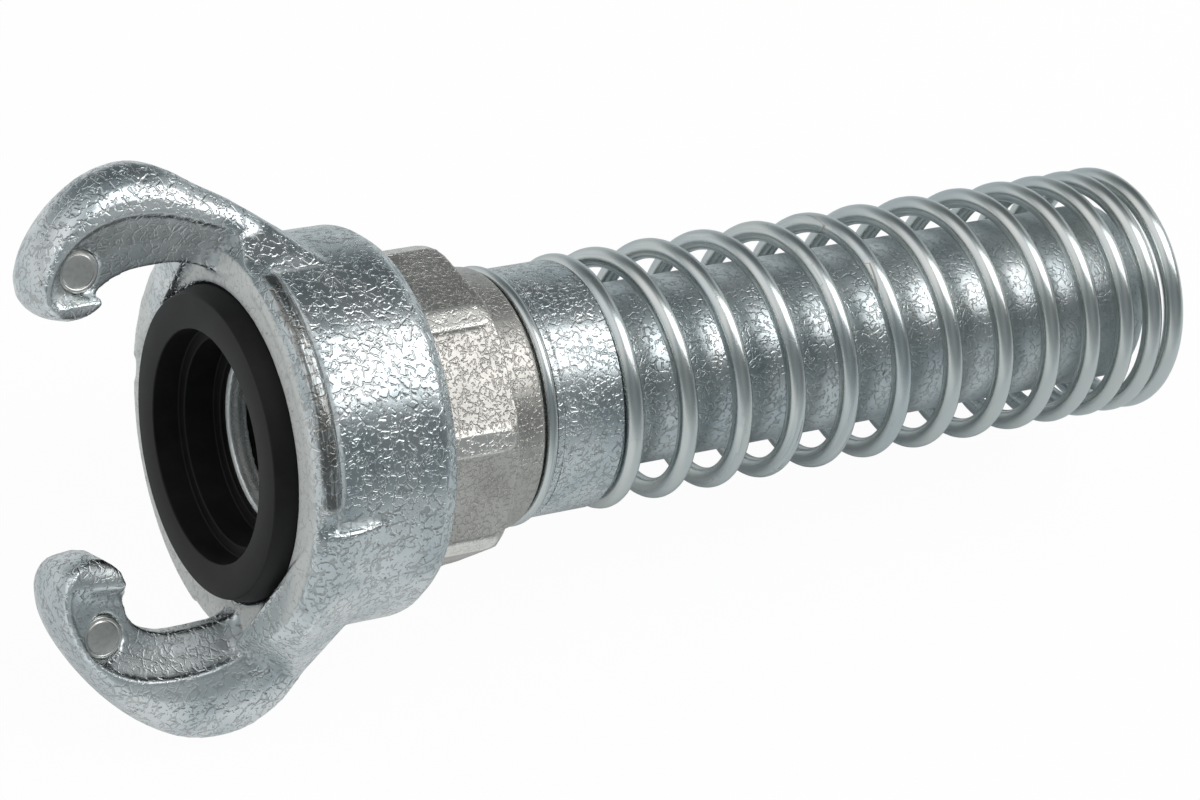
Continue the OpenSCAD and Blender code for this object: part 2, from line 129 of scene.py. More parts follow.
class CouplingSizes(bpy.types.PropertyGroup):
    """Sizes of the pieces that the scene adds or refines, in millimetres, and turns of the spring."""
    head_voxel: bpy.props.FloatProperty(
        name="Head mesh", description="Edge length of the head's even faces", default=0.365, min=0.2)
    nut_voxel: bpy.props.FloatProperty(
        name="Nut mesh", description="Edge length of the nut's even faces", default=0.27, min=0.2)
    cast_lump: bpy.props.FloatProperty(
        name="Casting lumps", description="How far the castings' skin wanders", default=0.05, min=0)
    edge_round: bpy.props.FloatProperty(
        name="Turned edges", description="Rounding of the turned pieces' edges", default=0.14, min=0)
    seal_face: bpy.props.FloatProperty(
        name="Seal face", description="Outer radius of the seal's front face", default=18, min=10)
    seal_lip: bpy.props.FloatProperty(
        name="Seal opening", description="Radius of the seal's front opening", default=13.9, min=5)
    seal_bore: bpy.props.FloatProperty(
        name="Seal bore", description="Radius of the seal behind its ledge", default=12.4, min=5)
    seal_rear: bpy.props.FloatProperty(
        name="Seal rear lip", description="Radius of the bore in the rear lip", default=10.8, min=5)
    seal_ledge: bpy.props.FloatProperty(
        name="Seal ledge", description="Depth of the seal's ledge", default=3.4, min=0.5)
    seal_lip_wall: bpy.props.FloatProperty(
        name="Rear lip wall", description="Thickness of the seal's rear lip", default=0.8, min=0.2)
    seal_proud: bpy.props.FloatProperty(
        name="Seal height", description="How far the seal stands out of the head", default=2.3, min=0.5)
    pin_radius: bpy.props.FloatProperty(
        name="Pin", description="Radius of the claw pins", default=2.6, min=1)
    pin_half: bpy.props.FloatProperty(
        name="Pin half length", description="Half the length of a claw pin", default=2.75, min=1)
    pin_dome: bpy.props.FloatProperty(
        name="Pin dome", description="Height of the dome on a pin's end", default=0.1, min=0)
    pin_groove: bpy.props.FloatProperty(
        name="Pin groove", description="Depth of the groove round that dome", default=0.12, min=0)
    neck: bpy.props.FloatProperty(
        name="Neck", description="Radius of the hose tail's neck", default=12.8, min=5)
    tube: bpy.props.FloatProperty(
        name="Tube", description="Outer radius of the hose tail's tube", default=11.3, min=5)
    tube_bore: bpy.props.FloatProperty(
        name="Tube bore", description="Radius of the hose tail's bore", default=9.6, min=5)
    flange_wall: bpy.props.FloatProperty(
        name="Flange", description="Thickness of the hose tail's flange", default=3, min=1)
    groove_floor: bpy.props.FloatProperty(
        name="Groove", description="Radius of the groove under the O-ring", default=11.35, min=5)
    ring_seat: bpy.props.FloatProperty(
        name="Ring seat", description="Radius of the ferrule under the retaining ring", default=14.4, min=5)
    ferrule: bpy.props.FloatProperty(
        name="Ferrule", description="Outer radius of the ferrule", default=15.25, min=5)
    ferrule_length: bpy.props.FloatProperty(
        name="Ferrule length", description="Length of the ferrule's smooth part", default=9.1, min=3)
    bead: bpy.props.FloatProperty(
        name="Bead", description="Width of the bead at the ferrule's front edge", default=0.9, min=0.2)
    shoulder: bpy.props.FloatProperty(
        name="Shoulder", description="Outer radius of the shoulder in the spring", default=13.3, min=5)
    shoulder_length: bpy.props.FloatProperty(
        name="Shoulder length", description="Length of that shoulder", default=2.4, min=0.5)
    wire: bpy.props.FloatProperty(
        name="Wire", description="Thickness of the spring wire", default=2.5, min=1)
    coil: bpy.props.FloatProperty(
        name="Coil", description="Diameter of the coil at the middle of the wire", default=29.2, min=10)
    pitch: bpy.props.FloatProperty(
        name="Pitch", description="Distance between open turns", default=7.75, min=3)
    shut_pitch: bpy.props.FloatProperty(
        name="Shut pitch", description="Distance between closed turns", default=2.65, min=2)
    flat_turns: bpy.props.FloatProperty(
        name="Flat start", description="Turns that lie flat at the ferrule", default=0.5, min=0)
    ease_turns: bpy.props.FloatProperty(
        name="Eased start", description="Turns over which the pitch begins", default=0.3, min=0.01)
    open_turns: bpy.props.FloatProperty(
        name="Open turns", description="Turns at the full pitch", default=7, min=1)
    close_turns: bpy.props.FloatProperty(
        name="Closing turns", description="Turns over which the pitch falls", default=5.3, min=0.1)
    shut_turns: bpy.props.FloatProperty(
        name="Shut turns", description="Closed turns at the free end", default=0.1, min=0)
    start_angle: bpy.props.FloatProperty(
        name="Wire start", description="Angle of the wire's first end, from the upper claw",
        default=math.radians(-150), subtype="ANGLE")


class FinishColours(bpy.types.PropertyGroup):
    """Colours of the finishes."""
    zinc: bpy.props.FloatVectorProperty(
        name="Zinc", description="Bright zinc plating", subtype="COLOR", size=3,
        default=(0.70, 0.735, 0.74), min=0, max=1)
    zinc_deep: bpy.props.FloatVectorProperty(
        name="Zinc, deep", description="Bluer zinc in broad patches", subtype="COLOR", size=3,
        default=(0.53, 0.585, 0.605), min=0, max=1)
    nickel: bpy.props.FloatVectorProperty(
        name="Nut metal", description="Warm grey plating of the nut", subtype="COLOR", size=3,
        default=(0.58, 0.555, 0.52), min=0, max=1)
    nickel_deep: bpy.props.FloatVectorProperty(
        name="Nut metal, deep", description="Darker patches of the nut's plating", subtype="COLOR",
        size=3, default=(0.485, 0.465, 0.435), min=0, max=1)
    # Pale bars: partly wear at the nut's corners, partly a painted highlight.
    bar_wear_and_highlight: bpy.props.FloatVectorProperty(
        name="Nut bars", description="Pale metal of the nut's raised bars", subtype="COLOR", size=3,
        default=(0.93, 0.90, 0.85), min=0, max=1)
    # Also painted into the throat as a pale painted highlight.
    face: bpy.props.FloatVectorProperty(
        name="Machined face", description="Pale matt zinc of the head's front face", subtype="COLOR",
        size=3, default=(0.88, 0.88, 0.845), min=0, max=1)
    # Painted reflection: the dark colour of the cam segments stands in for the dark band that their metal
    # reflects.
    painted_cam_reflection: bpy.props.FloatVectorProperty(
        name="Rubbed cam", description="Darker metal of the cam segments", subtype="COLOR", size=3,
        default=(0.15, 0.14, 0.125), min=0, max=1)
    wire: bpy.props.FloatVectorProperty(
        name="Wire", description="Drawn zinc-plated wire", subtype="COLOR", size=3,
        default=(0.67, 0.69, 0.665), min=0, max=1)
    # The pit colour also goes into the castings' hollows, there as dirt and painted shade.
    pit: bpy.props.FloatVectorProperty(
        name="Pits", description="Dark grooves, specks and dirt", subtype="COLOR", size=3,
        default=(0.15, 0.118, 0.088), min=0, max=1)
    pin: bpy.props.FloatVectorProperty(
        name="Pins", description="Riveted steel pins", subtype="COLOR", size=3,
        default=(0.76, 0.75, 0.715), min=0, max=1)
    rubber: bpy.props.FloatVectorProperty(
        name="Rubber", description="Black rubber", subtype="COLOR", size=3,
        default=(0.0048, 0.0043, 0.0042), min=0, max=1)
    brass: bpy.props.FloatVectorProperty(
        name="Brass", description="The thrust washer", subtype="COLOR", size=3,
        default=(0.78, 0.62, 0.30), min=0, max=1)


class StageSettings(bpy.types.PropertyGroup):
    """Camera, floor, surroundings and lamp."""
    camera_place: bpy.props.FloatVectorProperty(
        name="Camera", description="Camera's place in metres", subtype="TRANSLATION", unit="LENGTH",
        size=3, default=(-0.2157162, -0.2412514, 0.4135785))
    camera_turn: bpy.props.FloatVectorProperty(
        name="Camera turn", description="Camera's rotation", subtype="EULER", unit="ROTATION",
        size=3, default=(0.6429872, -0.3350932, -0.4305801))
    lens: bpy.props.FloatProperty(
        name="Lens", description="Focal length on a 36 mm wide sensor", default=135, min=10)
    floor_colour: bpy.props.FloatVectorProperty(
        name="Floor", description="The plain pale floor", subtype="COLOR", size=3,
        default=(0.94, 0.94, 0.94), min=0, max=1)
    floor_bounce: bpy.props.FloatVectorProperty(
        name="Floor's light", description="The floor as the object is lit by it", subtype="COLOR", size=3,
        default=(0.695, 0.735, 0.75), min=0, max=1)
    key_power: bpy.props.FloatProperty(
        name="Overhead lamp", description="Power of the overhead softbox in watts", default=3.0, min=0)
    key_way: bpy.props.FloatVectorProperty(
        name="Overhead lamp's place", description="Direction from the object to the softbox",
        subtype="DIRECTION", size=3, default=(0.469, -0.03, 0.883))
    key_distance: bpy.props.FloatProperty(
        name="Overhead lamp's distance", description="Distance of the softbox from the object",
        default=0.75, min=0.1, unit="LENGTH")
    key_size: bpy.props.FloatVectorProperty(
        name="Overhead lamp's size", description="Width and depth of the softbox in metres",
        size=2, default=(0.85, 0.46), min=0.01)
    world_level: bpy.props.FloatProperty(
        name="Surroundings", description="Strength of the soft surroundings", default=1.0, min=0)
    world_tint: bpy.props.FloatVectorProperty(
        name="Dark surroundings", description="Tint of the darker surroundings", subtype="COLOR", size=3,
        default=(0.9, 1.0, 1.04), min=0)


class Value:
    """A shader socket that works in sums, so that a mask reads as an expression."""

    def __init__(self, tree, socket):
        self.tree = tree
        self.socket = socket

    def sum(self, operation, *terms):
        return self.tree.node("ShaderNodeMath", {"operation": operation}, dict(enumerate(terms)))

    def __add__(self, other):
        return self.sum("ADD", self, other)

    def __sub__(self, other):
        return self.sum("SUBTRACT", self, other)

    def __mul__(self, other):
        return self.sum("MULTIPLY", self, other)

    def __pow__(self, other):
        return self.sum("POWER", self, other)

    def __rsub__(self, other):
        return self.sum("SUBTRACT", other, self)

    __radd__ = __add__
    __rmul__ = __mul__


class Tree:
    """The nodes of one material or world."""

    def __init__(self, tree):
        self.tree = tree
        tree.nodes.clear()

    def node(self, kind, settings=None, inputs=None, output=0):
        made = self.tree.nodes.new(kind)
        for name, value in (settings or {}).items():
            if name == "stops":
                self.set_stops(made.color_ramp, value)
            else:
                setattr(made, name, value)
        for name, value in (inputs or {}).items():
            if isinstance(value, Value):
                self.tree.links.new(value.socket, made.inputs[name])
            else:
                made.inputs[name].default_value = value
        if not made.outputs:
            return None
        return Value(self, made.outputs[output])

    def outputs(self, kind, names, inputs=None):
        """Several outputs of one new node."""
        sockets = self.node(kind, None, inputs).socket.node.outputs
        return [Value(self, sockets[name]) for name in names]

    def split(self, vector):
        """The three parts of a vector."""
        return self.outputs("ShaderNodeSeparateXYZ", "XYZ", {0: vector})

    def dot(self, vector, way):
        """How far a vector goes along a fixed direction."""
        return self.node("ShaderNodeVectorMath", {"operation": "DOT_PRODUCT"}, {0: vector, 1: way}, "Value")

    @staticmethod
    def set_stops(ramp, stops):
        while len(ramp.elements) > 1:
            ramp.elements.remove(ramp.elements[-1])
        for number, (place, colour) in enumerate(stops):
            element = ramp.elements[0] if number == 0 else ramp.elements.new(place)
            element.position = place
            element.color = colour

    def place(self, scale=(1, 1, 1)):
        """Object coordinates in millimetres, which may be stretched."""
        source = self.node("ShaderNodeTexCoord", output="Object")
        return self.node("ShaderNodeMapping", None, {"Vector": source, "Scale": [s/MM for s in scale]})

    def noise(self, where, scale, detail=2.0, roughness=0.5, distortion=0.0, output=0):
        return self.node(
            "ShaderNodeTexNoise", None,
            {"Vector": where, "Scale": scale, "Detail": detail, "Roughness": roughness,
             "Distortion": distortion}, output)

    def cracks(self, where, scale):
        """Distance to the edges between cells of about 1/scale millimetres."""
        return self.node(
            "ShaderNodeTexVoronoi", {"feature": "DISTANCE_TO_EDGE"},
            {"Vector": where, "Scale": scale}, "Distance")

    def wandered(self, where, scale, amount):
        """Coordinates pushed about by a noise, so that cells lose their straight edges."""
        push = self.noise(where, scale, 2.0, 0.5, 0.0, "Color")
        centred = self.node(
            "ShaderNodeVectorMath", {"operation": "SUBTRACT"}, {0: push, 1: (0.5, 0.5, 0.5)})
        sized = self.node("ShaderNodeVectorMath", {"operation": "SCALE"}, {0: centred, "Scale": amount})
        return self.node("ShaderNodeVectorMath", {"operation": "ADD"}, {0: where, 1: sized})

    def step(self, value, low, high):
        """0 below low, 1 above high and smooth between them."""
        return self.node(
            "ShaderNodeMapRange", {"interpolation_type": "SMOOTHSTEP"},
            {"Value": value, "From Min": low, "From Max": high, "To Min": 0.0, "To Max": 1.0})

    def blend(self, factor, first, second):
        return self.node(
            "ShaderNodeMix", {"data_type": "RGBA"},
            {"Factor": factor, 6: as_colour(first), 7: as_colour(second)}, 2)

    def bump(self, height):
        """A normal for a height in millimetres."""
        return self.node("ShaderNodeBump", None, {"Height": height, "Distance": MM})


def as_colour(value):
    if isinstance(value, Value):
        return value
    return (*value[:3], 1.0)


def new_material(name):
    material = bpy.data.materials.new(name)
    material.use_nodes = True
    return material, Tree(material.node_tree)


def finish_shader(tree, inputs):
    """Ends a material in one Principled shader, whose inputs are values of the tree or plain numbers."""
    shader = tree.node("ShaderNodeBsdfPrincipled", None, inputs)
    tree.node("ShaderNodeOutputMaterial", None, {"Surface": shader})


def crinkle(tree, where, cell):
    """The grooves of a crinkled plating: 1 in a broken wavy groove and 0 between them."""
    cells = tree.cracks(tree.wandered(where, 0.8/cell, 0.5*cell), 0.85/cell)
    edges = 1.0 - tree.step(cells, 0.02, 0.14)
    kept = tree.step(tree.noise(where, 0.9/cell, 1.0, 0.5), 0.45, 0.53)
    path = tree.noise(where, 1.0/cell, 1.0, 0.4, 0.4) - 0.5
    lines = 1.0 - tree.step(path.sum("ABSOLUTE", path), 0.012, 0.05)
    cut = tree.step(tree.noise(where, 1.5/cell, 1.0, 0.5), 0.47, 0.55)
    return (edges*kept).sum("MAXIMUM", edges*kept, lines*cut)


def cast_metal(name, bright, deep, pit, cell, depth, swell, rough, zones):
    """Plated metal: crinkled grooves, a slow swell, dark pits, dirt and painted shade in the corners, and
    edges made paler by wear and a painted highlight.

    cell is the size of the crinkle, and depth and swell its heights, in millimetres. zones changes
    some of the values at places of one piece."""
    material, tree = new_material(name)
    where = tree.place()
    groove = crinkle(tree, where, cell)
    wave = tree.noise(where, 0.45/cell, 1.0, 0.5, 0.3)
    grain = tree.noise(where, 4.0, 2.0, 0.6)
    specks = tree.step(tree.noise(where, 1.7, 1.0, 0.5, 1.0), 0.69, 0.74)
    patches = tree.noise(where, 0.14, 1.0, 0.5)
    bend = tree.node("ShaderNodeAttribute", {"attribute_name": "bend"}, None, "Fac")
    # Darker where the skin bends in: partly dirt, partly painted shade in the hollows.
    dirt = tree.step(bend, 0.02, 0.09)*tree.step(tree.noise(where, 0.5, 2.0, 0.6), 0.3, 0.6)
    hollow = tree.step(bend, 0.012, 0.05)
    # Paler where the skin bends out: partly wear, partly a painted highlight along the edges.
    wear_and_edge_highlight = tree.step(0.0 - bend, 0.035, 0.1)
    parts = {
        "where": where, "height": wave*swell - groove*depth,
        "base": tree.blend(tree.step(patches, 0.35, 0.68), bright, deep),
        "metallic": 1.0 - specks*0.4, "rough": grain*0.1 + patches*0.06 + rough,
        "marks": groove**3.0*0.34 + specks*0.55,
    }
    parts.update(zones(tree, parts))
    base = tree.blend(parts["marks"], parts["base"], pit)
    # The hollows take the pit colour: dirt and painted shade.
    base = tree.blend(dirt*0.2, base, pit)
    # The edges take a paler zinc: wear and a painted highlight.
    base = tree.blend(wear_and_edge_highlight*0.6, base, [min(1.0, c*1.22) for c in bright])
    finish_shader(tree, {
        "Base Color": base,
        "Metallic": parts["metallic"]*(1.0 - hollow*0.8),
        "Roughness": parts["rough"] + parts["marks"]*0.25 + hollow*0.3 - wear_and_edge_highlight*0.06,
        "Normal": tree.bump(parts["height"] + grain*0.004),
    })
    return material


def along_axis(tree, where):
    """The distances along and from the axis X in millimetres, and the angle about it."""
    x, y, z = tree.split(where)
    return x, (y*y + z*z)**0.5, y.sum("ARCTAN2", z, y)


def head_zones(face, painted_cam_reflection):
    """The head's front face, the cheeks of its claws, its cam segments with a dark painted reflection and
    its threaded throat with a pale painted highlight.
    """
    def zones(tree, parts):
        roll = claw_roll()
        outwards = (0, math.cos(roll), math.sin(roll))
        facing = tree.node("ShaderNodeTexCoord", output="Normal")
        across = tree.dot(facing, (0, -math.sin(roll), math.cos(roll)))
        ahead = tree.dot(facing, (-1, 0, 0))
        x, away, around = along_axis(tree, parts["where"])
        reach = tree.dot(parts["where"], outwards)
        leans = tree.dot(facing, outwards)*reach.sum("SIGN", reach)
        cheek = tree.step(across.sum("ABSOLUTE", across), 0.6, 0.85)
        cheek = cheek*(1.0 - tree.step(x, CHEEK_END, CHEEK_END + 1.6))
        cheek = cheek*(1.0 - tree.step(leans, 0.1, 0.3))*(1.0 - tree.step(ahead, 0.3, 0.5))
        front = tree.step(ahead, 0.8, 0.94)*(1.0 - tree.step(away, FACE_RADIUS - 0.8, FACE_RADIUS))
        front = front*tree.step(x, FACE_START - 0.5, FACE_START)
        turn = around.sum("COSINE", (around - (roll + CAM_MIDDLE))*2.0)
        cam = tree.step(away, CAM_RADIUS - 0.2, CAM_RADIUS)*tree.step(x, CAM_START - 0.5, CAM_START)
        cam = cam*(1.0 - tree.step(x, CAM_END, CAM_END + 0.3))*tree.step(turn, 0.3, 0.34)
        scrape = tree.noise(tree.place(scale=(4.0, 0.35, 0.35)), 1.0, 3.0, 0.6)
        # The throat is painted pale and less metallic, a painted highlight for light reflected in the bore.
        throat = 1.0 - tree.step(away, THROAT_RADIUS - 0.4, THROAT_RADIUS)
        throat = throat*tree.step(x, THROAT_START - 1.0, THROAT_START)
        thread = x.sum("SINE", x*(math.tau/THREAD_PITCH))
        calm = cheek*0.6 + front*0.75 + throat*0.85
        skin = parts["height"]*(1.0 - calm)*(1.0 - cam*0.5)
        # Pale face colour on the front face and cheeks, and in the throat as a painted highlight.
        base = tree.blend(front*0.9 + cheek*0.15 + throat*0.7, parts["base"], face)
        return {
            # The cam segments take a dark painted reflection, with paler streaks where the scrape noise is
            # high.
            "base": tree.blend(cam*(1.0 - tree.step(scrape, 0.48, 0.64)*0.85)*0.82, base, painted_cam_reflection),
            "metallic": parts["metallic"]*(1.0 - front*0.86 - cheek*0.15 - throat*0.5),
            "rough": parts["rough"] + front*0.22 + cheek*0.14,
            "height": skin + scrape*cam*0.03 + thread*throat*0.06,
            "marks": parts["marks"]*(1.0 - calm*0.5),
        }
    return zones


def nut_zones(bar_wear_and_highlight):
    """The nut's raised bars, painted pale at its corners: partly wear, partly a painted highlight."""
    def zones(tree, parts):
        _, away, _ = along_axis(tree, parts["where"])
        raised = tree.step(away, BAR_RADIUS, BAR_RADIUS + 0.25)
        return {
            # The bars take the pale colour: wear and a painted highlight.
            "base": tree.blend(raised, parts["base"], bar_wear_and_highlight),
            "marks": parts["marks"]*(0.45 - raised*0.2),
        }
    return zones


def tail_zones(tree, parts):
    """The crinkle of the ferrule, which fades along the tube, and the smoother bore."""
    x, away, _ = along_axis(tree, parts["where"])
    tube = tree.step(x, TUBE_START, TUBE_START + 1.0)
    fade = 1.0 - tube*0.25 - tree.step(x, TUBE_FADE_START, TUBE_FADE_END)*0.45
    bore = 1.0 - tree.step(away, TUBE_BORE - 0.4, TUBE_BORE)
    return {
        "height": parts["height"]*fade,
        "marks": parts["marks"]*(fade*0.5 + 0.5)*(1.0 - bore*0.8),
        "rough": parts["rough"] + tube*(1.0 - bore)*0.05 - bore*0.08,
    }


def drawn_wire(name, bright, deep, dirt):
    """Drawn wire: streaks that run along it and a thin broken seam of dirt beside its crest."""
    material, tree = new_material(name)
    where = tree.place()
    wound = tree.node("ShaderNodeAttribute", {"attribute_name": "wire"}, None, "Vector")
    side, out, run = tree.split(wound)
    drawn = tree.node("ShaderNodeCombineXYZ", None, {0: side*3.2, 1: out*3.2, 2: run*0.05})
    streaks = tree.noise(drawn, 1.0, 3.0, 0.6)
    cloud = tree.noise(where, 0.3, 2.0, 0.5)
    seam = tree.step(side, 0.18, 0.24)*(1.0 - tree.step(side, 0.3, 0.36))
    stain = seam*tree.step(tree.noise(where, 0.22, 3.0, 0.6), 0.4, 0.56)
    base = tree.blend(tree.step(streaks, 0.4, 0.68)*0.75 + cloud*0.25, bright, deep)
    base = tree.blend(stain*0.55, base, dirt)
    finish_shader(tree, {
        "Base Color": base,
        "Metallic": 1.0 - stain*0.3,
        "Roughness": streaks*0.12 + stain*0.15 + 0.2,
        "Normal": tree.bump(streaks*0.014),
    })
    return material


def black_rubber(name, colour):
    """Matt moulded rubber with a fine grain and a paler bloom."""
    material, tree = new_material(name)
    where = tree.place()
    grain = tree.noise(where, 7.0, 3.0, 0.6)
    bloom = tree.noise(where, 0.3, 3.0, 0.55)
    paler = [c*1.9 for c in colour]
    finish_shader(tree, {
        "Base Color": tree.blend(tree.step(bloom, 0.35, 0.75), colour, paler),
        "Metallic": 0.0,
        "Roughness": grain*0.16 + bloom*0.12 + 0.4,
        "Specular IOR Level": 0.27,
        "Normal": tree.bump(grain*0.008),
    })
    return material


def pin_steel(name, bright, deep):
    """Riveted steel with darker clouds and a fine grain."""
    material, tree = new_material(name)
    where = tree.place()
    cloud = tree.noise(where, 1.4, 4.0, 0.6)
    grain = tree.noise(where, 9.0, 2.0, 0.6)
    finish_shader(tree, {
        "Base Color": tree.blend(tree.step(cloud, 0.35, 0.7), bright, deep),
        "Metallic": 1.0,
        "Roughness": cloud*0.16 + 0.26,
        "Normal": tree.bump(grain*0.006),
    })
    return material


def plain_brass(name, colour):
    """Turned brass, seldom seen."""
    material, tree = new_material(name)
    where = tree.place(scale=(6, 1, 1))
    cloud = tree.noise(where, 0.8, 3.0, 0.5)
    deep = [c*0.7 for c in colour]
    finish_shader(tree, {
        "Base Color": tree.blend(cloud, colour, deep),
        "Metallic": 1.0,
        "Roughness": cloud*0.2 + 0.22,
    })
    return material


def finishes():
    """All the finishes, each made once."""
    colours = bpy.context.scene.coupling_colours
    made = {m["coupling_finish"]: m for m in bpy.data.materials if m.get("coupling_finish")}
    if not made:
        zinc, deep, pit = list(colours.zinc), list(colours.zinc_deep), list(colours.pit)
        nickel, nickel_deep = list(colours.nickel), list(colours.nickel_deep)
        made = {
            "cast_zinc": cast_metal(
                "zinc_casting", zinc, deep, pit, cell=1.05, depth=0.06, swell=0.03, rough=0.17,
                zones=head_zones(list(colours.face), list(colours.painted_cam_reflection))),
            "nut_metal": cast_metal(
                "nickel_casting", nickel, nickel_deep, pit, cell=0.72, depth=0.055, swell=0.02, rough=0.28,
                zones=nut_zones(list(colours.bar_wear_and_highlight))),
            "tube_zinc": cast_metal(
                "zinc_tube", zinc, deep, pit, cell=0.9, depth=0.055, swell=0.004, rough=0.19,
                zones=tail_zones),
            "spring_wire": drawn_wire("zinc_wire", list(colours.wire), deep, pit),
            "seal_rubber": black_rubber("black_rubber", list(colours.rubber)),
            "pin_steel": pin_steel("riveted_steel", list(colours.pin), [c*0.82 for c in colours.pin]),
            "washer_brass": plain_brass("turned_brass", list(colours.brass)),
        }
        for slot, material in made.items():
            material["coupling_finish"] = slot
    return made


def finished(piece, slot, body, node):
    """Gives a piece its finish and its body, and hides the solid that it stands for."""
    piece.data.materials.clear()
    piece.data.materials.append(finishes()[slot])
    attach(piece, body)
    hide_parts(node)


def deselect():
    if bpy.context.mode != "OBJECT":
        bpy.ops.object.mode_set(mode="OBJECT")
    bpy.ops.object.select_all(action="DESELECT")


def choose(piece):
    deselect()
    piece.select_set(True)
    bpy.context.view_layer.objects.active = piece


def add_modifier(piece, kind, **settings):
    """Adds a modifier and applies it at once."""
    choose(piece)
    modifier = piece.modifiers.new(kind.lower(), kind)
    for name, value in settings.items():
        setattr(modifier, name, value)
    bpy.ops.object.modifier_apply(modifier=modifier.name)


def smooth(piece, degrees=35):
    choose(piece)
    bpy.ops.object.shade_smooth_by_angle(angle=math.radians(degrees))


def turned(name, profile, steps=ROUND, solid=False):
    """A round piece about X: a circle drawn out through points (x, r) in mm.

    The last circle joins the first, or both are filled if the piece is solid."""
    deselect()
    x, r = profile[0]
    bpy.ops.mesh.primitive_circle_add(
        vertices=steps, radius=r*MM, location=(x*MM, 0, 0), rotation=(0, math.pi/2, 0))
    piece = bpy.context.object
    piece.name = name
    bpy.ops.object.transform_apply(location=True, rotation=True, scale=True)
    bpy.ops.object.mode_set(mode="EDIT")
    bpy.ops.mesh.select_all(action="SELECT")
    for (x0, r0), (x1, r1) in zip(profile, profile[1:]):
        bpy.ops.mesh.extrude_edges_move(TRANSFORM_OT_translate={"value": ((x1 - x0)*MM, 0, 0)})
        bpy.ops.transform.resize(value=(1, r1/r0, r1/r0), center_override=(x1*MM, 0, 0))
    bpy.ops.mesh.select_all(action="DESELECT")
    bpy.ops.mesh.select_non_manifold()
    if solid:
        bpy.ops.mesh.fill_holes(sides=0)
    else:
        bpy.ops.mesh.bridge_edge_loops()
    bpy.ops.mesh.select_all(action="SELECT")
    bpy.ops.mesh.normals_make_consistent(inside=False)
    bpy.ops.object.mode_set(mode="OBJECT")
    return piece


def along(node):
    """Where a round solid starts and ends along X, and its outer radius, in millimetres."""
    low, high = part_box(node)
    return low.x/MM, high.x/MM, (high.z - low.z)/2/MM


def rounded(piece, width, segments=3, degrees=30):
    add_modifier(
        piece, "BEVEL", width=width*MM, segments=segments, limit_method="ANGLE",
        angle_limit=math.radians(degrees), use_clamp_overlap=True)
    smooth(piece)


def write_attribute(piece, name, kind, values):
    """Stores a value or vector for every vertex under a name that the materials read."""
    attribute = piece.data.attributes.new(name, kind, "POINT")
    key = "value" if kind == "FLOAT" else "vector"
    attribute.data.foreach_set(key, np.ascontiguousarray(values, dtype=np.float32).ravel())


def corners(piece):
    flat = np.empty(len(piece.data.vertices)*3)
    piece.data.vertices.foreach_get("co", flat)
    return flat.reshape(-1, 3)/MM


def skin_bend(piece, spacing):
    """How the skin bends at each vertex: above 0 in a corner, below 0 on an edge."""
    places = corners(piece)
    count = len(places)
    facing = np.empty(count*3)
    piece.data.vertex_normals.foreach_get("vector", facing)
    facing = facing.reshape(-1, 3)
    pairs = np.empty(len(piece.data.edges)*2, dtype=np.int32)
    piece.data.edges.foreach_get("vertices", pairs)
    first, second = pairs.reshape(-1, 2).T
    degree = np.bincount(pairs, minlength=count)

    def neighbours(values):
        total = np.bincount(first, values[second], count) + np.bincount(second, values[first], count)
        return total/degree

    mean = np.stack([neighbours(places[:, axis]) for axis in range(3)], axis=1)
    bend = ((mean - places)*facing).sum(axis=1)/spacing
    for _ in range(2):
        bend = (bend + neighbours(bend))/2
    return bend


def write_wire(piece, start, travel, rounds, coil):
    """Stores the direction round the wire (sideways, outwards) and the place along it in millimetres.

    travel gives the middle of the wire along X after a number of turns from the angle start."""
    x, y, z = corners(piece).T
    turn = np.mod((np.arctan2(z, y) - start)/math.tau, 1.0)
    turns = np.arange(rounds)[:, None] + turn
    middles = np.vectorize(travel)(turns)
    nearest = np.abs(middles - x).argmin(axis=0), np.arange(len(x))
    sideways, outwards = x - middles[nearest], np.hypot(y, z) - coil/2
    size = np.maximum(np.hypot(sideways, outwards), 1e-6)
    run = turns[nearest]*math.pi*coil
    write_attribute(piece, "wire", "FLOAT_VECTOR", np.stack([sideways/size, outwards/size, run], axis=1))


def casting(node, name, voxel, lump, rounds):
    """A casting from a solid: even faces, softened edges, filleted hollows and a wandering skin."""
    piece = bpy.data.objects.new(name, frame["nodes"][node].data.copy())
    bpy.context.scene.collection.objects.link(piece)
    choose(piece)
    bpy.ops.object.mode_set(mode="EDIT")
    bpy.ops.mesh.select_all(action="SELECT")
    bpy.ops.mesh.remove_doubles(threshold=0.002*MM)
    bpy.ops.mesh.normals_make_consistent(inside=False)
    bpy.ops.object.mode_set(mode="OBJECT")
    add_modifier(piece, "REMESH", mode="VOXEL", voxel_size=voxel*MM, adaptivity=0.0)
    add_modifier(piece, "SMOOTH", factor=0.5, iterations=rounds)
    hollows = piece.vertex_groups.new(name="hollows")
    hollows.add(np.flatnonzero(skin_bend(piece, voxel) > FILLET_BEND).tolist(), 1.0, "REPLACE")
    add_modifier(piece, "SMOOTH", factor=0.5, iterations=FILLET_ROUNDS, vertex_group=hollows.name)
    piece.vertex_groups.clear()
    lumps = bpy.data.textures.new(name + "_lumps", "CLOUDS")
    lumps.noise_scale = LUMP_WIDTH*MM
    lumps.noise_depth = 1
    add_modifier(piece, "DISPLACE", texture=lumps, texture_coords="LOCAL", strength=lump*MM, mid_level=0.5)
    choose(piece)
    bpy.ops.object.shade_smooth()
    write_attribute(piece, "bend", "FLOAT", skin_bend(piece, voxel))
    return piece


